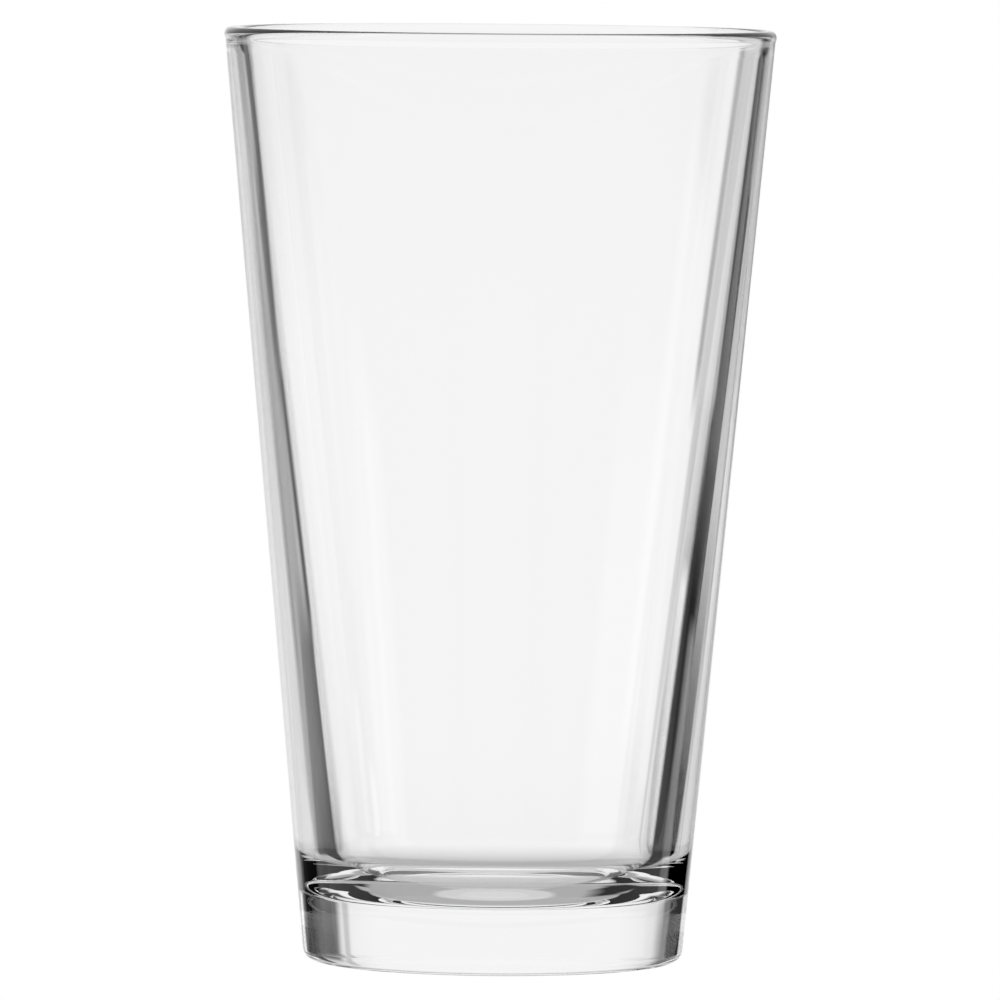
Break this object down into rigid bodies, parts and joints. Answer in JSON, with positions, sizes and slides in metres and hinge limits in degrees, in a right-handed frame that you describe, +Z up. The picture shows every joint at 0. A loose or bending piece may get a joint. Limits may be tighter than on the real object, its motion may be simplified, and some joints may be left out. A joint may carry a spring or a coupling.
{
  "type": "mixing glass",
  "caption": "Straight-sided tapered bar glass with a thick solid base, a slightly banded rim and an open cup, for stirring and shaking drinks.",
  "frame": {"origin": "centre of the plane that the glass stands on", "axes": "+Z up along the glass's axis, from the base to the rim; turned shape, so X and Y are alike"},
  "size_m": [0.0882, 0.0882, 0.1492],
  "materials": {
    "clear_glass": "polished"
  },
  "bodies": {
    "root": {"glass_body": "clear_glass"}
  },
  "joints": []
}
